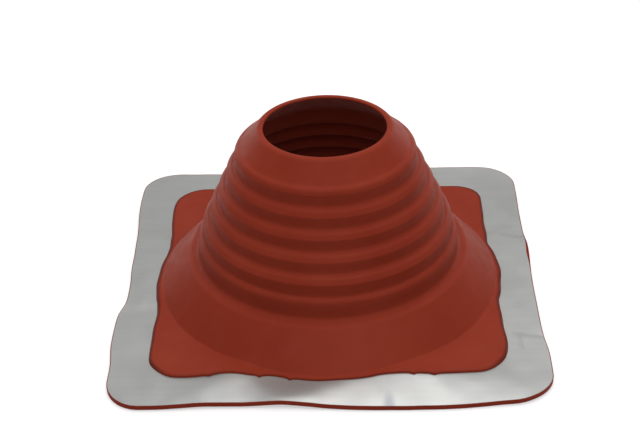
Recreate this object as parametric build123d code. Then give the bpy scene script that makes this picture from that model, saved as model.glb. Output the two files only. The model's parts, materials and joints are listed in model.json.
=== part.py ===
from build123d import *
import os

# Pipe flashing: a stepped rubber boot moulded in one piece with its square base, and a soft
# aluminium flange whose inner edge is held in a slot under the rubber panel.
# Millimetres, +Z up. The origin is the middle of the base, on the face that lies on the roof.

# Square base: a rubber backing with the aluminium sheet on it
base_side = 254.0
base_corner = 22.0
backing_thickness = 2.2
sheet_thickness = 0.8
sheet_setback = 0.5

# Rubber panel over the inner edge of the sheet, with a round bulge in the middle of each side
strip_width = 24.0
panel_side = base_side - 2 * strip_width
panel_corner = 17.0
panel_rise = 1.5
panel_edge_bevel = 0.7
bulge_margin = 2.9
bulge_blend = 14.0
grip_depth = 3.0

# Sealing groove in the underside of the backing, inside an outer rib
outer_rib_width = 6.0
groove_width = 5.0
groove_depth = 0.8
groove_corner = 10.0

# Rim and collar: the bore, a neck that flares out to a rounded shoulder, and a short band
bore_radius = 36.75
bore_length = 3.0
rim_width = 3.2
rim_ease = 1.0
neck_out = 4.6
neck_drop = 6.4
collar_out = 8.3
collar_drop = 5.7
collar_ease = 1.8
collar_band_out = 1.6
collar_band_drop = 3.0

# Steps down the cone: each has an upright riser, a sloping ledge and a flared band
step_count = 5
step_out = 5.4
step_drop = 11.7
ledge_drop = 3.1
band_out = 1.6
band_drop = 3.3

# Under the last ledge: a smooth waist, a ledge out to the shoulder, and the skirt to the panel
waist_out = 0.3
waist_drop = 8.7
waist_ease = 3.0
shoulder_out = 6.3
shoulder_drop = 4.0
shoulder_ease = 1.8
skirt_out = 18.0
skirt_drop = 21.5
foot_margin = 2.0

# Wall of the boot, thicker at the foot, and the fall of each ledge inside the hollow
wall = 2.5
foot_wall = 3.5
inside_ledge_drop = 2.0

# Points nearer to each other than this are one point
same_point = 0.01

# Radii, from the bore outwards
rim_radius = bore_radius + rim_width
neck_radius = rim_radius + neck_out
collar_radius = neck_radius + collar_out
first_foot_radius = collar_radius + collar_band_out
last_crest_radius = first_foot_radius + step_count * step_out - band_out
waist_radius = last_crest_radius + waist_out
shoulder_radius = waist_radius + shoulder_out
foot_radius = shoulder_radius + skirt_out
mouth_radius = foot_radius - foot_wall
bulge_radius = foot_radius + bulge_margin

# Heights, from the roof upwards
sheet_top = backing_thickness + sheet_thickness
panel_top = sheet_top + panel_rise
shoulder_height = panel_top + skirt_drop
waist_height = shoulder_height + shoulder_drop
last_crest_height = waist_height + waist_drop
first_foot_height = last_crest_height + step_count * step_drop - band_drop
collar_height = first_foot_height + collar_band_drop
neck_height = collar_height + collar_drop
boot_height = neck_height + neck_drop


def band_foot(step):
    """Lower edge of a step's band, as radius and height. Step 0 is the collar's own band."""
    return (first_foot_radius + step * step_out, first_foot_height - step * step_drop)


def crest(step):
    """Upper edge of a step's band, where the ledge above it ends."""
    radius, height = band_foot(step)
    return (radius - band_out, height + band_drop)


def outer_corners():
    """Corners of the outside from the rim down to the panel, each with the ease cut off it."""
    corners = [
        ((bore_radius, boot_height), 0),
        ((rim_radius, boot_height), rim_ease),
        ((neck_radius, neck_height), 0),
        ((collar_radius, collar_height), collar_ease),
    ]
    for step in range(step_count):
        riser_radius, riser_top = band_foot(step)
        crest_radius, crest_height = crest(step + 1)
        corners.append(((riser_radius, riser_top), 0))
        corners.append(((riser_radius, crest_height + ledge_drop), 0))
        corners.append(((crest_radius, crest_height), 0))
    corners.append(((waist_radius, waist_height), waist_ease))
    corners.append(((shoulder_radius, shoulder_height), shoulder_ease))
    corners.append(((foot_radius, panel_top), 0))
    corners.append(((foot_radius + foot_margin, panel_top), 0))
    corners.append(((foot_radius + foot_margin, 0), 0))
    return corners


def inner_corners():
    """Corners of the hollow from its mouth up to the bore, one wall inside the outer ones."""
    skirt = Vector(skirt_out, -skirt_drop).normalized()
    skirt_start = Vector(shoulder_radius, shoulder_height) + Vector(skirt.Y, -skirt.X) * wall
    mouth_height = skirt_start.Y + (mouth_radius - skirt_start.X) * skirt.Y / skirt.X
    corners = [
        ((mouth_radius, 0), 0),
        ((mouth_radius, mouth_height), 0),
        ((skirt_start.X, skirt_start.Y), 0),
        ((waist_radius - wall, waist_height - wall), 0),
    ]
    riser_radius = waist_radius
    for step in reversed(range(step_count)):
        ledge_height = crest(step + 1)[1] - wall
        corners.append(((riser_radius - wall, ledge_height), 0))
        riser_radius = band_foot(step)[0]
        corners.append(((riser_radius - wall, ledge_height + inside_ledge_drop), 0))
    corners.append(((collar_radius - wall, collar_height - wall), 0))
    corners.append(((bore_radius, boot_height - bore_length), 0))
    return corners


def eased_outline(corners):
    """Points of a closed outline. An eased corner is cut off flat, so that it turns as a plain cone."""
    points = []
    for index, (place, ease) in enumerate(corners):
        corner = Vector(place)
        before = Vector(corners[index - 1][0])
        after = Vector(corners[(index + 1) % len(corners)][0])
        start = corner + (before - corner).normalized() * ease
        end = corner + (after - corner).normalized() * ease
        points += [start, end]
    pairs = zip(points, points[-1:] + points)
    return [point for point, previous in pairs if (point - previous).length > same_point]


def boot_wall():
    """Stepped cone with its skirt, turned from one closed section."""
    section = make_face(Polyline(*eased_outline(outer_corners() + inner_corners()), close=True))
    return revolve(Plane.XZ * section, Axis.Z)


def panel_outline(inset):
    """Plan of the rubber panel, drawn in by an inset: a rounded square with a bulge on each side."""
    side = panel_side - 2 * inset
    bulge = bulge_radius - inset
    outline = RectangleRounded(side, side, panel_corner - inset) + Circle(bulge)
    crossings = [v for v in outline.vertices() if abs(Vector(v).length - bulge) < same_point]
    return fillet(crossings, bulge_blend + inset) if crossings else outline


def sealing_groove():
    """Shallow square groove under the backing, one outer rib in from the edge."""
    outer_side = base_side - 2 * outer_rib_width
    inner_side = outer_side - 2 * groove_width
    outer = RectangleRounded(outer_side, outer_side, groove_corner + groove_width)
    inner = RectangleRounded(inner_side, inner_side, groove_corner)
    return extrude(outer - inner, groove_depth)


def make_flange():
    """Soft aluminium sheet: a rounded square whose opening reaches in under the panel's edge."""
    side = base_side - 2 * sheet_setback
    outline = RectangleRounded(side, side, base_corner - sheet_setback) - panel_outline(grip_depth)
    return Pos(0, 0, backing_thickness) * extrude(outline, sheet_thickness)


def make_boot(flange):
    """Rubber moulding: backing, panel and stepped cone in one, with the sheet's slot cut out."""
    foot = Circle(foot_radius)
    backing = extrude(RectangleRounded(base_side, base_side, base_corner) - foot, backing_thickness)
    panel = extrude(panel_outline(0) - foot, panel_top)
    top_edges = panel.faces().sort_by(Axis.Z)[-1].outer_wire().edges()
    panel = chamfer(top_edges, panel_edge_bevel)
    return backing + panel + boot_wall() - flange - sealing_groove()


os.makedirs("parts", exist_ok=True)
flange = make_flange()
boot = make_boot(flange)
export_step(flange, "parts/aluminium_flange.step")
export_step(boot, "parts/rubber_boot.step")
print(f"boot {boot_height:.1f} high on a base {base_side:.1f} square, bore {2 * bore_radius:.1f} across")
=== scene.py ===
# %% [markdown]
# # A pipe flashing, from a turned profile to a finished studio picture
# The object seals a vent pipe where it comes through a roof. It is two pieces: a red silicone boot,
# moulded in one with its square base, and a soft aluminium sheet that the base grips all round.
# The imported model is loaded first. It fixes the sizes, and every piece made here stands in its place.

# %% Load the fixed frame
import json
import math

import bmesh
import bpy
from mathutils import Matrix, Vector


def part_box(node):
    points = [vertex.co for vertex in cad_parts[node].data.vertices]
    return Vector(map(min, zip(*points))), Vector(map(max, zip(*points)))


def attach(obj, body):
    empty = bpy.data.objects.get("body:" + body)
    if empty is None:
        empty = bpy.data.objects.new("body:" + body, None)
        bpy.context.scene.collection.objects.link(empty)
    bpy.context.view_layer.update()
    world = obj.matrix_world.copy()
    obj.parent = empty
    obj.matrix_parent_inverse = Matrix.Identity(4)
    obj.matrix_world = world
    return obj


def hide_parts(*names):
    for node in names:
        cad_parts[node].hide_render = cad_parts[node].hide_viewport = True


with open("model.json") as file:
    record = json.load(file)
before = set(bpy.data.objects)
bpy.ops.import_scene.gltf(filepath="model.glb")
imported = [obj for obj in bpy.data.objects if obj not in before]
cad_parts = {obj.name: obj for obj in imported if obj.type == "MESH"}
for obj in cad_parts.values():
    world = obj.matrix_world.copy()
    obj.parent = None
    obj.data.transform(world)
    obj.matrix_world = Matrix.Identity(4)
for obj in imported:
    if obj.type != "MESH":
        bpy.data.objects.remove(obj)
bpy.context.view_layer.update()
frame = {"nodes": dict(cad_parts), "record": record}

bpy.ops.object.select_all(action="DESELECT")
print("frame nodes:", sorted(frame["nodes"]))

# %% [markdown]
# ## Sizes
# Blender works in metres here, so a size in millimetres is written as a number times `MM`.
# The large sizes come from the frame: the square base, the top of the rim, the sheet's two faces and
# the bore that the pipe goes through. Everything else hangs on these.

# %% Sizes that come from the frame
MM = 0.001
boot_low, boot_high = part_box("rubber_boot")
sheet_low, sheet_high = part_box("aluminium_flange")
pipe_bore = next(mount for mount in frame["record"]["mounts"] if mount["name"] == "pipe_bore")

base_half = boot_high.x
rim_height = boot_high.z
backing_top = sheet_low.z
sheet_top = sheet_high.z
sheet_half = sheet_high.x
bore_radius = pipe_bore["dims"]["r_mm"] * MM
print(f"base {2 * base_half:.3f} m square, rim {rim_height:.3f} m up from {boot_low.z:.3f} m")
print(f"bore {2 * bore_radius:.4f} m across")

# %% [markdown]
# ## The boot's profile
# The cone is round, so one half section holds its whole shape: rim, flared collar, the steps that an
# installer cuts along, the waist and the skirt. A turned shape could be stacked from cylinders, but a
# single wire that is spun keeps the wall in one skin, inside and out. The corners are listed from the
# skirt's foot, up the outside, over the rim and down the inside, each with how much is rounded off it.

# %% Sizes of the half section
wall = 2.5 * MM
foot_wall = 3.5 * MM
mouth_height = 4.8 * MM
bore_edge = 1.4 * MM
panel_rise = 1.5 * MM
foot_lap = 0.6 * MM

# Rim and collar: how far each edge stands out from the one above it, and how far below it lies
rim_out = 3.2 * MM
neck_out, neck_drop = 5.8 * MM, 6.9 * MM
brim_out, brim_drop = 4.9 * MM, 4.9 * MM
collar_out, collar_drop = 2.6 * MM, 1.0 * MM
collar_band_out, collar_band_drop = 1.2 * MM, 2.8 * MM

# Steps: each is a riser, a narrow ledge that ends in a crest, and a flared band under the crest
step_count = 5
step_out, step_drop = 5.4 * MM, 11.7 * MM
crest_in, crest_up = 2.2 * MM, 3.6 * MM
ledge_rise = 0.5 * MM
inner_ledge_drop = 1.5 * MM

# Waist, shoulder and skirt: again how far out from the one above, and how far below
waist_out, waist_drop = 0.9 * MM, 12.4 * MM
shoulder_out, shoulder_drop = 6.3 * MM, 1.3 * MM
skirt_out = 18.0 * MM
print("steps:", step_count, "each", round(step_drop / MM, 1), "mm down")

# %% Radii and heights of the half section
rim_radius = bore_radius + rim_out
neck_radius = rim_radius + neck_out
brim_radius = neck_radius + brim_out
collar_radius = brim_radius + collar_out
first_foot_radius = collar_radius + collar_band_out
last_crest_radius = first_foot_radius + step_count * step_out - crest_in
waist_radius = last_crest_radius + waist_out
shoulder_radius = waist_radius + shoulder_out
foot_radius = shoulder_radius + skirt_out
panel_start = foot_radius + foot_lap
mouth_radius = foot_radius - foot_wall

neck_height = rim_height - neck_drop
brim_height = neck_height - brim_drop
collar_height = brim_height - collar_drop
first_foot_height = collar_height - collar_band_drop
last_crest_height = first_foot_height - step_count * step_drop + crest_up
waist_height = last_crest_height - waist_drop
shoulder_height = waist_height - shoulder_drop
panel_top = sheet_top + panel_rise
print(f"skirt from radius {shoulder_radius / MM:.2f} to {foot_radius / MM:.2f} mm")
print(f"shoulder {shoulder_height / MM:.2f} mm up, panel {panel_top / MM:.2f} mm up")

# %% Corners of the half section
foot_rounding = 0.55 * MM
shoulder_rounding = 1.5 * MM
waist_rounding = 1.8 * MM
last_crest_rounding = 2.8 * MM
crest_rounding = 1.5 * MM
ledge_rounding = 1.8 * MM
band_rounding = 0.4 * MM
collar_rounding = 1.5 * MM
brim_rounding = 1.0 * MM
neck_rounding = 4.0 * MM
rim_rounding = 1.5 * MM
bore_rounding = 0.9 * MM
inner_ledge_rounding = 1.2 * MM
inner_rounding = 0.4 * MM


def band_foot(step):
    """Lower edge of a step's flared band, as radius and height. Step 0 is under the collar."""
    return first_foot_radius + step * step_out, first_foot_height - step * step_drop


def outside_corners():
    """Corners (radius, height, rounding) from the panel up to the rim."""
    corners = [
        (panel_start, panel_top, 0),
        (foot_radius, panel_top, foot_rounding),
        (shoulder_radius, shoulder_height, shoulder_rounding),
        (waist_radius, waist_height, waist_rounding),
    ]
    for step in range(step_count, 0, -1):
        radius, height = band_foot(step)
        riser_radius, riser_top = band_foot(step - 1)
        rounding = last_crest_rounding if step == step_count else crest_rounding
        corners.append((radius - crest_in, height + crest_up, rounding))
        corners.append((riser_radius, height + crest_up + ledge_rise, ledge_rounding))
        corners.append((riser_radius, riser_top, band_rounding))
    corners.append((collar_radius, collar_height, collar_rounding))
    corners.append((brim_radius, brim_height, brim_rounding))
    corners.append((neck_radius, neck_height, neck_rounding))
    corners.append((rim_radius, rim_height, rim_rounding))
    return corners


def inside_corners():
    """Corners from the rim down to the mouth under the base, one wall in from the outside."""
    corners = [
        (bore_radius, rim_height, bore_rounding),
        (bore_radius, rim_height - bore_edge, inner_rounding),
        (collar_radius - wall, collar_height - wall, collar_rounding),
    ]
    for step in range(step_count):
        riser_radius = band_foot(step)[0]
        next_radius = waist_radius if step + 1 == step_count else band_foot(step + 1)[0]
        ledge_height = band_foot(step + 1)[1] + crest_up - wall
        corners.append((riser_radius - wall, ledge_height, inner_rounding))
        corners.append((next_radius - wall, ledge_height - inner_ledge_drop, inner_ledge_rounding))
    corners.append((waist_radius - wall, waist_height - wall, inner_rounding))
    corners.append((shoulder_radius - wall, shoulder_height - wall, 0))
    corners.append((mouth_radius, mouth_height, 0))
    corners.append((mouth_radius, 0, 0))
    return corners


profile = outside_corners() + inside_corners()
print("profile corners:", len(profile))

# %% [markdown]
# ## Drawing and spinning the profile
# A wire starts as one point and grows by extruding that point from corner to corner, as with E and a
# typed distance. Each corner is then rounded with a vertex bevel, and long straight runs are cut in
# three, so that smooth shading stays flat on them. Spin turns the wire once round the Z axis.

# %% Helpers for working in edit mode
# Distances in metres: within the first a place is found again, within the second a seam is closed
same_place = 1e-6
seam_gap = 1e-5


def edit_mesh():
    """The mesh that is being edited, as bmesh sees it."""
    return bmesh.from_edit_mesh(bpy.context.edit_object.data)


def select_points(test):
    """Selects the points whose place passes the test, with the edges and faces between them."""
    mesh = edit_mesh()
    for point in mesh.verts:
        point.select = test(point.co)
    mesh.select_flush_mode()
    bmesh.update_edit_mesh(bpy.context.edit_object.data)


# %% Helpers for drawing and turning a wire
def start_wire(name, place):
    """A new object in edit mode that holds one selected point."""
    bpy.ops.object.select_all(action="DESELECT")
    bpy.ops.mesh.primitive_plane_add(size=MM)
    bpy.context.object.name = name
    bpy.context.object.data.name = name
    bpy.ops.object.mode_set(mode="EDIT")
    bpy.ops.mesh.select_mode(type="VERT")
    bpy.ops.mesh.select_all(action="SELECT")
    bpy.ops.mesh.merge(type="CENTER")
    bpy.ops.transform.translate(value=place)
    return bpy.context.object


def draw_profile(name, corners, segments, longest_run):
    """Draws the wire corner by corner, rounds its corners and cuts its long runs in three."""
    places = [Vector((radius, 0, height)) for radius, height, rounding in corners]
    wire = start_wire(name, places[0])
    for place, previous in zip(places[1:], places):
        bpy.ops.mesh.extrude_vertices_move(TRANSFORM_OT_translate={"value": place - previous})
    for place, (radius, height, rounding) in zip(places, corners):
        if rounding:
            select_points(lambda co: (co - place).length < same_place)
            bpy.ops.mesh.bevel(affect="VERTICES", offset=rounding, segments=segments)
    mesh = edit_mesh()
    for edge in mesh.edges:
        edge.select_set(edge.calc_length() > longest_run)
    bpy.ops.mesh.subdivide(number_cuts=2)
    return wire


def turn_wire(steps):
    """Spins the whole wire once round the Z axis."""
    bpy.ops.mesh.select_all(action="SELECT")
    bpy.ops.mesh.spin(steps=steps, angle=2 * math.pi, center=(0, 0, 0), axis=(0, 0, 1))


# %% Draw the half section and spin it
ray_count = 360
boot = draw_profile("silicone_boot", profile, segments=4, longest_run=3 * MM)
bpy.ops.mesh.select_all(action="SELECT")
bpy.ops.mesh.remove_doubles(threshold=seam_gap)
turn_wire(steps=ray_count)
bpy.ops.mesh.select_all(action="SELECT")
bpy.ops.mesh.remove_doubles(threshold=same_place)
print("turned cone:", len(edit_mesh().verts), "points,", len(edit_mesh().faces), "faces")

# %% [markdown]
# ## Outlines of the square base
# From the skirt's foot outwards nothing is round any more, so each ring of points slides along its own
# ray from the middle until it meets an outline: the square backing, or the panel with a bulge on every
# side where the skirt nearly reaches its edge. The real edge is moulded and trimmed by hand, so the
# panel's outline wanders, mostly by a millimetre or two, and has small nibs of flash along the front.
# Such wandering is kept as a few values at angles round the base, with a smooth mean between them.

# %% How the panel's edge wanders
# Degrees round from +X, and how far the panel's edge stands out of its drawn line there, in millimetres
panel_drift = (
    (0, 0.5), (10, 0.0), (23, -0.7), (38, -0.6), (60, 0.0), (90, 0.0), (122, 0.0), (136, 0.0), (144, 5.2),
    (150, 2.9), (156, 1.2), (163, 1.0), (171, -0.7), (180, 0.2), (188, 1.2), (196, 1.9), (204, 1.3),
    (212, 1.5), (218, 1.6), (225, -1.2), (231, 0.5), (235.5, 1.9), (240, -2.8), (244, -1.2), (249, 3.4),
    (253, -0.5), (258, 2.2), (264, 2.0), (270, 2.6), (276, 2.9), (283, 3.7), (290, 1.5), (298, 2.2),
    (306, 1.0), (311, -2.4), (316, -2.2), (323, 2.8), (332, 1.7), (342, 1.0), (350, 0.7),
)
drift_spread = 5.0
# Height in millimetres, waves in a turn, and start of each fine wave along that edge
edge_ripples = ((0.20, 19, 0.5), (0.18, 31, 2.1))
# Degrees round from +X of each nib of flash, how far it reaches, and its half width in degrees
flash_nibs = (237, 250, 259, 295, 300)
nib_reach = 1.5 * MM
nib_spread = 0.75
# How far in degrees a key counts, and the little that each key counts everywhere
key_spread = 7.0
least_weight = 1e-9


def between_keys(keys, angle, spread=key_spread):
    """Smooth mean of keyed values near an angle in degrees: the nearer a key, the more it counts."""
    total = [0.0] * (len(keys[0]) - 1)
    weight_sum = 0.0
    for key in keys:
        gap = (angle - key[0] + 180) % 360 - 180
        weight = math.exp(-((gap / spread) ** 2)) + least_weight
        weight_sum += weight
        total = [part + weight * value for part, value in zip(total, key[1:])]
    return [part / weight_sum for part in total]


front_drift = between_keys(panel_drift, 270, drift_spread)[0]
print("the panel's edge stands out by", round(front_drift, 2), "mm at the front")

# %% Outlines as a reach along each ray
base_corner = 22.0 * MM
panel_half = 103.0 * MM
panel_corner = 17.0 * MM
bulge_margin = 2.9 * MM
bulge_radius = foot_radius + bulge_margin
bulge_blend = 0.8 * MM


def square_reach(angle, half, corner):
    """Distance along a ray to a square with rounded corners."""
    across, along = sorted((abs(math.cos(angle)), abs(math.sin(angle))))
    reach = half / along
    if reach * across > half - corner:
        toward = (half - corner) * (across + along)
        reach = toward + math.sqrt(toward**2 - 2 * (half - corner) ** 2 + corner**2)
    return reach


def panel_reach(angle, inset=0.0):
    """Distance along a ray to the panel's edge: a rounded square and a circle, blended where they cross."""
    square = square_reach(angle, panel_half, panel_corner)
    blend = max(bulge_blend - abs(square - bulge_radius), 0) / bulge_blend
    degrees = math.degrees(angle) % 360
    drift = between_keys(panel_drift, degrees, drift_spread)[0] * MM
    ripple = sum(height * math.sin(count * angle + start) for height, count, start in edge_ripples) * MM
    nibs = sum(math.exp(-(((degrees - nib) / nib_spread) ** 2)) for nib in flash_nibs) * nib_reach
    return max(square, bulge_radius) + blend**2 * bulge_blend / 4 + drift + ripple + nibs - inset


def base_reach(angle, inset=0.0):
    """Distance along a ray to the backing's edge, drawn in evenly by an inset."""
    return square_reach(angle, base_half - inset, base_corner - inset)


print("panel reach on a side and a corner:", round(panel_reach(0), 4), round(panel_reach(math.pi / 4), 4))

# %% [markdown]
# ## How the soft edge was bent by handling
# The sheet is soft enough to press onto a corrugated roof by hand, so it comes out of its box with a
# wavy edge. At the front the base stands a little off the table, the skirt's foot is spread and the edge
# curls down. The waves belong to both pieces, because the backing sticks to the sheet. Three creases and
# a dent are pressed into it. A lattice could bend the finished mesh, but a function that says where a
# place on the flat base went keeps both pieces together to a hair.

# %% The bends, as values at angles round the base
# Degrees round from +X, how far the panel's edge stands off the table in millimetres, and how late the
# sheet curls down from there: 1 is an even slope
crown_lifts = (
    (0, 0.2, 2.5), (45, 0.0, 2.5), (90, 0.1, 2.5), (135, 0.0, 2.5), (180, 0.3, 2.5), (215, 0.1, 2.5),
    (232, 0.6, 2.5), (242, 2.4, 1.7), (249, 2.4, 1.2), (254, 1.4, 2.0), (259, 1.1, 7.0), (264, 2.1, 2.6),
    (269, 2.5, 1.4), (275, 2.9, 1.15), (281, 3.2, 1.1), (290, 3.3, 1.1), (300, 2.9, 1.1), (308, 1.1, 1.3),
    (320, 0.4, 2.5), (340, 0.4, 2.5),
)
# Degrees round from +X, and how far the skirt's foot is spread towards the panel's edge, in millimetres
foot_spreads = (
    (0, 0.0), (60, 0.0), (120, 0.0), (180, 0.0), (240, 0.0), (255, 1.2), (262, 2.6), (270, 3.3), (280, 3.0),
    (290, 1.6), (300, 0.3), (320, 0.0),
)
# Degrees round from +X, then how far the outer edge rose and moved along X and Y, in millimetres
edge_waves = (
    (0, 0.6, -0.5, 0.0), (7, 0.8, 1.2, 0.0), (25, 0.5, -0.5, 0.0), (40, 0.5, 0.0, 0.0), (56, 0.8, 0.0, 1.6),
    (90, 0.5, 0.0, 0.0), (123, 0.8, 0.0, -3.6), (130, 0.6, -0.6, -2.8), (138, 0.8, -1.8, -2.0),
    (145, 1.0, -3.6, 0.0), (151, 0.9, -1.6, 0.0), (160, 0.8, 0.4, 0.0), (175, 0.6, 1.0, 0.0),
    (187, 0.7, 2.8, 0.0), (205, 0.4, -1.2, 0.0), (221, 0.2, 1.6, 0.0), (231, 0.2, 0.0, -1.2),
    (244, 1.3, 0.0, 0.4), (251, 0.2, 0.0, 0.3), (259, 3.5, 0.0, 0.2), (264, 1.2, 0.0, -0.7),
    (270, 0.1, 0.0, -2.2), (281, 0.0, 0.0, -2.9), (289, 0.0, 0.0, -3.2), (298, 0.0, 0.0, -2.9),
    (307, 0.0, 0.0, -0.8), (314, 1.3, 0.0, 3.4), (322, 0.3, 1.8, 0.0), (337, 0.6, -0.4, 0.0),
)
# How late the outer edge's rise comes on the way out: 1 is an even slope
rise_curl = 1.6
print("highest crown:", max(lift for angle, lift, curl in crown_lifts), "mm")

# %% Creases, a dent and ripples
# Start and end of each crease in plan, and its depth, in millimetres
creases = (
    ((109.9, -65.0), (125.8, -69.2), 0.10),
    ((112.8, -67.5), (113.0, -78.5), 0.08),
    ((112.0, 42.0), (125.0, 38.0), 0.10),
)
crease_spread = 1.6
# Middle of the dent in plan, its spread and its depth, in millimetres
dent = ((-90.0, -121.0), 2.5, 0.2)
# How far the sheet lies off the table in millimetres, with ripples a little up and down from there
resting_lift = 0.1
ripple_height = 0.03
# Turn in radians for each millimetre along X and along Y, and start, of each ripple
sheet_ripples = ((0.31, 0.22, 0.0), (-0.17, 0.27, 1.7), (0.41, 0.0, -1.0))
# The marks fade in from the panel's edge, this many times as fast as the sheet is crossed
marks_onset = 3


def part_way(value, start, end):
    """How far a value lies on the way from start to end, kept between 0 and 1."""
    return min(max((value - start) / (end - start), 0), 1)


def crease_depth(x, y):
    """How deep the creases go at a place in plan, in millimetres."""
    depth = 0.0
    here = Vector((x, y))
    for start, end, deepest in creases:
        start = Vector(start)
        run = Vector(end) - start
        share = part_way((here - start).dot(run), 0, run.length_squared)
        depth += deepest * math.exp(-(((here - start - run * share).length / crease_spread) ** 2))
    return depth


def dent_depth(x, y):
    """How deep the dent goes at a place in plan, in millimetres."""
    middle, spread, deepest = dent
    return deepest * math.exp(-(((Vector((x, y)) - Vector(middle)).length / spread) ** 2))


def marks_lift(x, y):
    """How far ripples, creases and the dent put the sheet off the table, in millimetres."""
    ripple = sum(math.sin(turn_x * x + turn_y * y + start) for turn_x, turn_y, start in sheet_ripples)
    return resting_lift + ripple_height * ripple - crease_depth(x, y) - dent_depth(x, y)


print("dent:", round(dent_depth(*dent[0]), 2), "mm deep, creases:", [deepest for *ends, deepest in creases])

# %% Where a place went
def eased(share):
    """An even share turned into one that starts and ends gently."""
    return share**2 * (3 - 2 * share)


def bent(place):
    """Where a place on the flat base went when the edge was bent."""
    angle = math.atan2(place.y, place.x)
    degrees = math.degrees(angle) % 360
    distance = place.xy.length
    panel_edge = panel_reach(angle)
    on_skirt = part_way(distance, shoulder_radius, foot_radius)
    on_panel = part_way(distance, panel_start, panel_edge)
    on_sheet = part_way(distance, panel_edge, base_reach(angle))

    crown, curl = between_keys(crown_lifts, degrees)
    rise, along_x, along_y = between_keys(edge_waves, degrees)
    spread = between_keys(foot_spreads, degrees)[0] * on_skirt * (1 - on_panel)
    marks = marks_lift(place.x / MM, place.y / MM) * min(marks_onset * on_sheet, 1)
    lift = crown * eased(on_skirt) * (1 - on_sheet**curl) + rise * on_sheet**rise_curl + marks

    outward = Vector((math.cos(angle), math.sin(angle), 0)) * spread
    wave = Vector((along_x * eased(on_sheet), along_y * eased(on_sheet), max(lift, 0)))
    return place + (outward + wave) * MM


def bend_points(test):
    """Moves the points that pass a test as the base was bent."""
    mesh = edit_mesh()
    for point in mesh.verts:
        if test(point.co):
            point.co = bent(point.co)
    bmesh.update_edit_mesh(bpy.context.edit_object.data)


fold_place = Vector((-27 * MM, -base_half, 0))
print("the fold in the front edge rises by", round(bent(fold_place).z / MM, 2), "mm")

# %% [markdown]
# ## Panel, slot and backing
# The base grows out of the skirt's foot. The foot's edge loop is extruded ring by ring: over the panel
# to its rounded edge, in under that edge to make the slot that grips the sheet, out again over the
# backing, round its edge and across the underside to the mouth. The last ring falls on the mouth's own
# points, so merging closes the skin. A value kept with each point sets a line of painted shade at the
# panel's edge, strong round the back and nearly gone at the front, where the upright edge shows its own
# shade.

# %% Helpers for rings along the rays
# Degrees round from +X, and how much of the painted shade line at the panel's edge is left there
line_left = (
    (20, 1.0), (90, 1.0), (160, 1.0), (215, 1.0), (235, 0.2), (250, 0.1), (270, 0.0), (290, 0.1),
    (305, 0.15), (325, 0.9),
)


def start_rings():
    """Keeps with each selected point the angle of its ray, and a place for the painted shade line's
    strength.
    """
    mesh = edit_mesh()
    mesh.verts.layers.float.new("painted_edge_shade")
    ray = mesh.verts.layers.float.new("ray")
    for point in mesh.verts:
        if point.select:
            point[ray] = math.atan2(point.co.y, point.co.x)
    bmesh.update_edit_mesh(bpy.context.edit_object.data)


def next_ring(reach, height, line=0.0):
    """Extrudes the selected ring and slides its points along their rays to a reach, at a height."""
    bpy.ops.mesh.extrude_edges_move()
    mesh = edit_mesh()
    painted_edge_shade = mesh.verts.layers.float["painted_edge_shade"]
    ray = mesh.verts.layers.float["ray"]
    for point in mesh.verts:
        if point.select:
            angle = point[ray]
            distance = reach(angle)
            point.co = bent(Vector((distance * math.cos(angle), distance * math.sin(angle), height)))
            # Painted shade: how dark the line along the panel's edge is painted here
            point[painted_edge_shade] = line * between_keys(line_left, math.degrees(angle) % 360)[0]
    bmesh.update_edit_mesh(bpy.context.edit_object.data)


# %% Extrude the panel, its rounded edge and the slot
edge_width = 3.0 * MM
grip_depth = 3.0 * MM
panel_shares = (0.35, 0.7, 1.0)
# How far in from the panel's edge, how far down from its top, and how dark the painted shade line is there
panel_rounds = (
    (2.5, 0.00, 0.1), (1.9, 0.01, 0.5), (1.4, 0.03, 0.9), (0.9, 0.10, 1.0), (0.35, 0.35, 1.0),
    (0.08, 0.75, 0.6), (0.0, 1.1, 0.3),
)
# Painted shade line where the panel's edge meets the sheet
slot_line = 0.3


def panel_part(share):
    """A ring part of the way from the skirt's foot to the panel's rounded edge."""
    return lambda angle: panel_start + max(panel_reach(angle, edge_width) - panel_start, 0) * share


def gripped(angle):
    """Distance along a ray to the slot's inner end."""
    return panel_reach(angle, grip_depth)


select_points(lambda co: co.z > panel_top - seam_gap and abs(co.xy.length - panel_start) < seam_gap)
start_rings()
bend_points(lambda co: co.z < shoulder_height and co.xy.length > shoulder_radius)
for share in panel_shares:
    next_ring(panel_part(share), panel_top)
for inset, drop, line in panel_rounds:
    next_ring(lambda angle: max(panel_reach(angle, inset * MM), panel_start), panel_top - drop * MM, line)
next_ring(panel_reach, sheet_top, slot_line)
next_ring(gripped, sheet_top)
next_ring(gripped, backing_top)
print("boot with its panel:", len(edit_mesh().verts), "points")

# %% Extrude the backing and its underside
slot_clearance = 0.05 * MM
sheet_setback = base_half - sheet_half
lip_ease = 0.15 * MM
backing_ease = 0.4 * MM
groove_start = 6.0 * MM
groove_width = 5.0 * MM
groove_depth = 0.8 * MM
backing_shares = (0.25, 0.5, 0.75)

for share in backing_shares:
    next_ring(lambda angle: panel_reach(angle) * (1 - share) + base_reach(angle) * share, backing_top)
for inset, height in (
    (sheet_setback - slot_clearance, backing_top),
    (sheet_setback - slot_clearance, sheet_top - lip_ease),
    (lip_ease, sheet_top),
    (0, sheet_top - lip_ease),
    (0, backing_ease),
    (backing_ease, 0),
    (groove_start, 0),
    (groove_start, groove_depth),
    (groove_start + groove_width, groove_depth),
    (groove_start + groove_width, 0),
):
    next_ring(lambda angle: base_reach(angle, inset), height)
next_ring(panel_reach, 0)
next_ring(lambda angle: mouth_radius, 0)
print("boot with its base:", len(edit_mesh().verts), "points")

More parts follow.
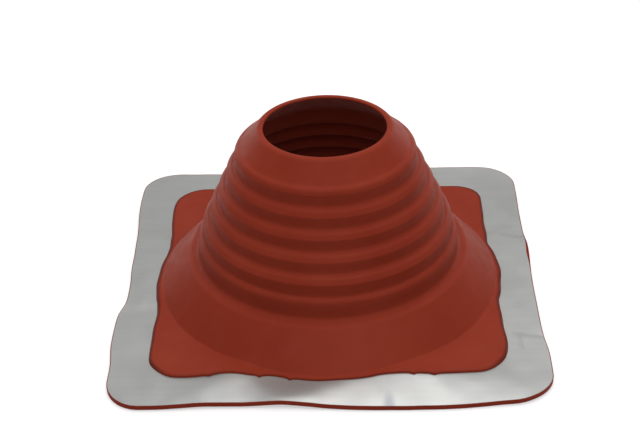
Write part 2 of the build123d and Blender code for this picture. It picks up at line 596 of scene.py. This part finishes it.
# %% Close the skin and smooth it
def finish_piece(piece, smooth_angle):
    """Merges doubles, turns the faces outwards and shades the piece smooth up to an angle."""
    bpy.ops.mesh.select_all(action="SELECT")
    bpy.ops.mesh.remove_doubles(threshold=seam_gap)
    bpy.ops.mesh.normals_make_consistent(inside=False)
    open_edges = sum(1 for edge in edit_mesh().edges if len(edge.link_faces) != 2)
    bpy.ops.object.mode_set(mode="OBJECT")
    bpy.ops.object.select_all(action="DESELECT")
    piece.select_set(True)
    bpy.context.view_layer.objects.active = piece
    bpy.ops.object.shade_smooth_by_angle(angle=math.radians(smooth_angle))
    triangles = sum(len(face.vertices) - 2 for face in piece.data.polygons)
    print(piece.name, "triangles:", triangles, "open edges:", open_edges)


finish_piece(boot, smooth_angle=32)

# %% [markdown]
# ## The aluminium sheet
# The sheet is a flat ring whose inner edge is hidden in the slot. A plane with a hole cut in it would do
# for a flat one, but this one follows the bent edge, so it needs points all over. It starts as a circle in
# the slot and is extruded outwards in narrow rings along the same rays, which keeps it on the backing.
# The starting circle is deleted, and Solidify then gives the sheet its thickness. A value kept with each
# point says how deep in a crease it lies, for the painted shade that the finish darkens into the creases.

# %% Rings of the sheet
sheet_rings = 14
# One place on the right where the sheet's edge is drawn in: how far, and where and how wide in degrees
drawn_in = 1.2 * MM
drawn_in_middle = 9.5
drawn_in_spread = 5.0


def sheet_reach(angle):
    """Distance along a ray to the sheet's outer edge, which is drawn in at one place on the right."""
    gap = (math.degrees(angle) - drawn_in_middle + 180) % 360 - 180
    return base_reach(angle, sheet_setback) - drawn_in * math.exp(-((gap / drawn_in_spread) ** 2))


def sheet_part(share):
    """A ring part of the way from the hidden inner edge to the outer edge."""
    hidden = grip_depth - slot_clearance
    return lambda angle: panel_reach(angle, hidden) * (1 - share) + sheet_reach(angle) * share


def mark_creases():
    """Keeps with each point of the sheet how deep in a crease it lies, from 0 to 1."""
    mesh = edit_mesh()
    crease = mesh.verts.layers.float.new("crease")
    deepest = max(depth for start, end, depth in creases)
    for point in mesh.verts:
        point[crease] = min(crease_depth(point.co.x / MM, point.co.y / MM) / deepest, 1)
    bmesh.update_edit_mesh(bpy.context.edit_object.data)


# %% Model the sheet
bpy.ops.object.select_all(action="DESELECT")
bpy.ops.mesh.primitive_circle_add(vertices=ray_count, radius=panel_half)
sheet = bpy.context.object
sheet.name = "aluminium_sheet"
sheet.data.name = "aluminium_sheet"
bpy.ops.object.mode_set(mode="EDIT")
bpy.ops.mesh.select_all(action="SELECT")
start_rings()
for ring in range(sheet_rings + 1):
    next_ring(sheet_part(ring / sheet_rings), sheet_top - slot_clearance)
select_points(lambda co: abs(co.z) < same_place)
bpy.ops.mesh.delete(type="VERT")
mark_creases()
bpy.ops.mesh.select_all(action="SELECT")
bpy.ops.mesh.normals_make_consistent(inside=False)
print("one face of the sheet:", len(edit_mesh().verts), "points")
bpy.ops.object.mode_set(mode="OBJECT")

# %% Give the sheet its thickness
thickness = sheet.modifiers.new("thickness", "SOLIDIFY")
thickness.thickness = sheet_top - backing_top - 2 * slot_clearance
thickness.offset = -1 if sheet.data.polygons[0].normal.z > 0 else 1
bpy.ops.object.modifier_apply(modifier=thickness.name)
bpy.ops.object.mode_set(mode="EDIT")
finish_piece(sheet, smooth_angle=40)

# %% [markdown]
# ## Finishes
# Both finishes are built from noise on Object coordinates, so they stay put when the camera moves. The
# silicone is matt, with faint cloudy patches, a fine grain and a line of painted shade along the panel's
# edge. The aluminium is plain mill sheet: rolled streaks one way, dull smears and a soft gloss, with
# painted shade darkened into the creases and one small dark mark by the front edge. Each finish has a
# function of its own.

# %% Helpers for nodes
def new_finish(name):
    """A material with its node tree, its shader and the object's own coordinates."""
    finish = bpy.data.materials.new(name)
    finish.use_nodes = True
    tree = finish.node_tree
    coordinates = tree.nodes.new("ShaderNodeTexCoord").outputs["Object"]
    return finish, tree, tree.nodes["Principled BSDF"], coordinates


def kept_value(tree, name):
    """A value that was kept with each point of the mesh."""
    node = tree.nodes.new("ShaderNodeAttribute")
    node.attribute_name = name
    return node.outputs["Fac"]


def noise(tree, coordinates, scale, detail, stretch=(1, 1, 1)):
    """A noise pattern, with its size per metre and a stretch along each axis."""
    mapping = tree.nodes.new("ShaderNodeMapping")
    mapping.inputs["Scale"].default_value = stretch
    pattern = tree.nodes.new("ShaderNodeTexNoise")
    pattern.inputs["Scale"].default_value = scale
    pattern.inputs["Detail"].default_value = detail
    tree.links.new(coordinates, mapping.inputs["Vector"])
    tree.links.new(mapping.outputs["Vector"], pattern.inputs["Vector"])
    return pattern.outputs["Fac"]


# %% Helpers for mixing patterns
def ranged(tree, value, low, high, start=0.35, end=0.65):
    """Maps a value between start and end, where most of a noise lies, onto the range from low to high."""
    node = tree.nodes.new("ShaderNodeMapRange")
    tree.links.new(value, node.inputs["Value"])
    for name, number in (("From Min", start), ("From Max", end), ("To Min", low), ("To Max", high)):
        node.inputs[name].default_value = number
    return node.outputs["Result"]


def mixed(tree, share, first, second):
    """Mixes two colours, each a plain colour or another node's output, by a share."""
    node = tree.nodes.new("ShaderNodeMix")
    node.data_type = "RGBA"
    tree.links.new(share, node.inputs["Factor"])
    # A Mix node has its colours on inputs 6 and 7 and on output 2: the others are for plain numbers
    for socket, colour in ((node.inputs[6], first), (node.inputs[7], second)):
        if isinstance(colour, tuple):
            socket.default_value = (*colour, 1)
        else:
            tree.links.new(colour, socket)
    return node.outputs[2]


def bumped(tree, height, strength, distance, under=None):
    """A bump from a height pattern, laid over another bump where one is given."""
    node = tree.nodes.new("ShaderNodeBump")
    node.inputs["Strength"].default_value = strength
    node.inputs["Distance"].default_value = distance
    tree.links.new(height, node.inputs["Height"])
    if under is not None:
        tree.links.new(under, node.inputs["Normal"])
    return node.outputs["Normal"]


# %% Red silicone rubber
silicone_deep = (0.235, 0.0280, 0.0127)
silicone_light = (0.254, 0.0324, 0.0149)
silicone_bloom = (0.32, 0.07, 0.045)
# Painted shade: the dark colour laid along the panel's edge, where it falls in shade
edge_shade_colour = (0.065, 0.010, 0.006)


def red_silicone():
    """Matt moulded silicone with a cloudy colour, fine grain and a painted shade line at the panel's edge.
    """
    finish, tree, shader, place = new_finish("red_silicone")
    cloud = ranged(tree, noise(tree, place, scale=28, detail=4), low=0, high=1)
    body = mixed(tree, cloud, silicone_deep, silicone_light)
    bloom = ranged(tree, noise(tree, place, scale=90, detail=5), low=0, high=0.08, start=0.5, end=0.75)
    dusty = mixed(tree, bloom, body, silicone_bloom)
    # Painted shade: the panel's edge is darkened in the colour, where shade falls at the edge
    painted_shade = ranged(tree, kept_value(tree, "painted_edge_shade"), low=0, high=0.8, start=0, end=1)
    tree.links.new(mixed(tree, painted_shade, dusty, edge_shade_colour), shader.inputs["Base Color"])
    dullness = ranged(tree, noise(tree, place, scale=140, detail=4), low=0.48, high=0.58)
    tree.links.new(dullness, shader.inputs["Roughness"])
    grain = bumped(tree, noise(tree, place, scale=1500, detail=2), strength=0.25, distance=0.06 * MM)
    flow = noise(tree, place, scale=120, detail=3)
    moulded = bumped(tree, flow, strength=0.35, distance=0.20 * MM, under=grain)
    tree.links.new(moulded, shader.inputs["Normal"])
    shader.inputs["Specular IOR Level"].default_value = 0.05
    return finish


boot.data.materials.append(red_silicone())
print("silicone nodes:", len(boot.data.materials[0].node_tree.nodes))

# %% Mill aluminium
metal_deep = (0.412, 0.416, 0.405)
metal_light = (0.434, 0.434, 0.420)
metal_smear = (0.388, 0.392, 0.382)
# Painted shade: the colour darkened into the creases, where shade falls
painted_crease_shade = (0.25, 0.25, 0.245)
metal_spot = (0.24, 0.25, 0.28)
# The dark mark: its middle, how much it is squeezed along each axis before measuring, and its size
spot_place = Vector((34.8 * MM, -130.0 * MM, 0))
spot_squeeze = Vector((1, 0.34, 0))
spot_size = 4.4 * MM


def dark_mark(tree, place):
    """How strongly the small dark mark shows at a place: most in its middle, and nothing past its size."""
    squeezed = tree.nodes.new("ShaderNodeVectorMath")
    squeezed.operation = "MULTIPLY"
    squeezed.inputs[1].default_value = spot_squeeze
    tree.links.new(place, squeezed.inputs[0])
    away = tree.nodes.new("ShaderNodeVectorMath")
    away.operation = "DISTANCE"
    away.inputs[1].default_value = spot_place * spot_squeeze
    tree.links.new(squeezed.outputs["Vector"], away.inputs[0])
    return ranged(tree, away.outputs["Value"], low=0.8, high=0, start=spot_size / 3, end=spot_size)


def mill_aluminium():
    """Soft aluminium sheet with rolled streaks, dull smears, painted shade in the creases and a small mark.
    """
    finish, tree, shader, place = new_finish("mill_aluminium")
    streak = noise(tree, place, scale=260, detail=4, stretch=(0.06, 1, 1))
    smear = noise(tree, place, scale=45, detail=4)
    metal = mixed(tree, ranged(tree, streak, low=0, high=1), metal_deep, metal_light)
    smeared = mixed(tree, ranged(tree, smear, low=0, high=0.5, start=0.45, end=0.7), metal, metal_smear)
    spotted = mixed(tree, dark_mark(tree, place), smeared, metal_spot)
    # Painted shade: the creases are darkened in the colour by how deep in them a point lies
    in_crease = ranged(tree, kept_value(tree, "crease"), low=0, high=0.5, start=0.1, end=1)
    tree.links.new(mixed(tree, in_crease, spotted, painted_crease_shade), shader.inputs["Base Color"])
    tree.links.new(ranged(tree, smear, low=0.33, high=0.39), shader.inputs["Roughness"])
    rolled = bumped(tree, streak, strength=0.15, distance=0.03 * MM)
    handled = bumped(tree, smear, strength=0.15, distance=0.2 * MM, under=rolled)
    tree.links.new(handled, shader.inputs["Normal"])
    shader.inputs["Metallic"].default_value = 0.7
    return finish


sheet.data.materials.append(mill_aluminium())
print("aluminium nodes:", len(sheet.data.materials[0].node_tree.nodes))

# %% [markdown]
# ## Seating the pieces in the frame
# Each finished piece rides on the frame's only body and hides the plain solid that it stands for.

# %% Seat the two pieces
for piece, node, slot in (
    (boot, "rubber_boot", "red_silicone_rubber"),
    (sheet, "aluminium_flange", "mill_aluminium"),
):
    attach(piece, "root")
    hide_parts(node)
    print(piece.name, "stands for", node)

# %% [markdown]
# ## Table
# The object lies on a white table whose far edge sweeps up, so that low views see white too. The sweep is
# spun from a wire as the boot was. Its white comes from the table's own finish, which the camera and
# reflections see a little lighter than it is lit, and not from more light on the object.

# %% White table with a raised edge
table_drop = 0.1 * MM
middle_radius = 0.02
table_radius, table_rounding = 3.0, 0.4
table_edge_radius, table_edge_height = 3.2, 0.5
table_corners = [
    (middle_radius, -table_drop, 0),
    (table_radius, -table_drop, table_rounding),
    (table_edge_radius, table_edge_height, 0),
]
floor = draw_profile("table", table_corners, segments=12, longest_run=3 * table_radius)
turn_wire(steps=96)
select_points(lambda co: co.xy.length < 1.5 * middle_radius)
bpy.ops.mesh.edge_face_add()
finish_piece(floor, smooth_angle=30)

# %% White finish of the table
table_grey = (0.55, 0.55, 0.55, 1)
glow_colour = (1, 1, 1, 1)
# How strongly the table glows near the object and far from it, and where it changes, in metres
near_glow, far_glow = 0.52, 0.78
glow_start, glow_end = 0.5, 2.0


def white_table():
    """Matt white that the camera and reflections see a little lighter, with the shadow kept."""
    finish, tree, shader, place = new_finish("white_table")
    shader.inputs["Base Color"].default_value = table_grey
    shader.inputs["Roughness"].default_value = 0.9
    shader.inputs["Specular IOR Level"].default_value = 0.1
    shader.inputs["Emission Color"].default_value = glow_colour
    path = tree.nodes.new("ShaderNodeLightPath")
    seen = path.outputs["Is Camera Ray"]
    for ray in ("Is Glossy Ray", "Is Transmission Ray"):
        either = tree.nodes.new("ShaderNodeMath")
        either.operation = "MAXIMUM"
        tree.links.new(seen, either.inputs[0])
        tree.links.new(path.outputs[ray], either.inputs[1])
        seen = either.outputs["Value"]
    away = tree.nodes.new("ShaderNodeVectorMath")
    away.operation = "LENGTH"
    tree.links.new(place, away.inputs[0])
    strength = ranged(tree, away.outputs["Value"], near_glow, far_glow, glow_start, glow_end)
    glow = tree.nodes.new("ShaderNodeMath")
    glow.operation = "MULTIPLY"
    tree.links.new(strength, glow.inputs[0])
    tree.links.new(seen, glow.inputs[1])
    tree.links.new(glow.outputs["Value"], shader.inputs["Emission Strength"])
    return finish


floor.data.materials.append(white_table())
print("table nodes:", len(floor.data.materials[0].node_tree.nodes))

# %% [markdown]
# ## Light
# One broad softbox hangs overhead, a little to the right. Two low ones behind, left and right, draw a
# sheen along the sides of the cone, and a high one at the back is mirrored in the strip of sheet that
# slopes down at the front. The room around is dim: the upright faces stay darker than the flat ones, and
# the metal has something to reflect.

# %% Lamps and room light
# Name, place and aim in metres, side in metres and power in watts
softboxes = (
    ("overhead_softbox", (0.09, -0.20, 1.3), (0.05, 0.0, 0.03), 1.4, 11.7),
    ("left_softbox", (-0.85, 1.25, 0.28), (0, 0, 0.03), 0.6, 4.5),
    ("right_softbox", (0.85, 1.25, 0.28), (0, 0, 0.03), 0.6, 4.0),
    ("back_softbox", (0.16, 1.2, 1.95), (0, 0, 0.03), 1.0, 8.2),
)
room_colour = (1, 1, 1, 1)
room_strength = 0.40


def hang_softbox(name, place, aim, side, power):
    """Hangs a square lamp that faces a point and isn't itself seen."""
    lamp = bpy.data.lights.new(name, "AREA")
    lamp.shape = "SQUARE"
    lamp.size = side
    lamp.energy = power
    holder = bpy.data.objects.new(name, lamp)
    bpy.context.scene.collection.objects.link(holder)
    holder.location = place
    holder.rotation_euler = (Vector(aim) - Vector(place)).to_track_quat("-Z", "Y").to_euler()
    holder.visible_camera = False


for softbox in softboxes:
    hang_softbox(*softbox)
room = bpy.data.worlds.new("dim_room")
room.use_nodes = True
room_light = room.node_tree.nodes["Background"]
room_light.inputs["Color"].default_value = room_colour
room_light.inputs["Strength"].default_value = room_strength
bpy.context.scene.world = room
bpy.context.scene.view_settings.view_transform = "Standard"
print("lamps:", [light.name for light in bpy.data.lights])

# %% [markdown]
# ## Camera
# The camera stands in front of the object and looks down on it, turned a little and rolled by less than
# two degrees, as a hand-held picture is. Its lens and place come from fitting the base's outline and the
# step rings to the picture, in a frame 640 pixels wide and 427 high.

# %% Place the camera
image_width = 640
focal_pixels = 1401.4
sensor_width = 36.0
camera_place = Vector((19.7, -727.8, 505.7)) * MM
camera_turns = (-1.90, 32.17, -1.81)
yaw, pitch, roll = (math.radians(turn) for turn in camera_turns)

level_ahead = Vector((math.sin(yaw), math.cos(yaw), 0))
level_right = Vector((math.cos(yaw), -math.sin(yaw), 0))
up = Vector((0, 0, 1))
ahead = math.cos(pitch) * level_ahead - math.sin(pitch) * up
above = math.sin(pitch) * level_ahead + math.cos(pitch) * up
right = math.cos(roll) * level_right + math.sin(roll) * above
above = math.cos(roll) * above - math.sin(roll) * level_right

lens = bpy.data.cameras.new("camera")
lens.sensor_width = sensor_width
lens.lens = focal_pixels / image_width * sensor_width
camera = bpy.data.objects.new("camera", lens)
bpy.context.scene.collection.objects.link(camera)
camera.location = camera_place
camera.rotation_euler = Matrix((right, above, -ahead)).transposed().to_euler()
bpy.context.scene.camera = camera
print("lens:", round(lens.lens, 2), "mm")
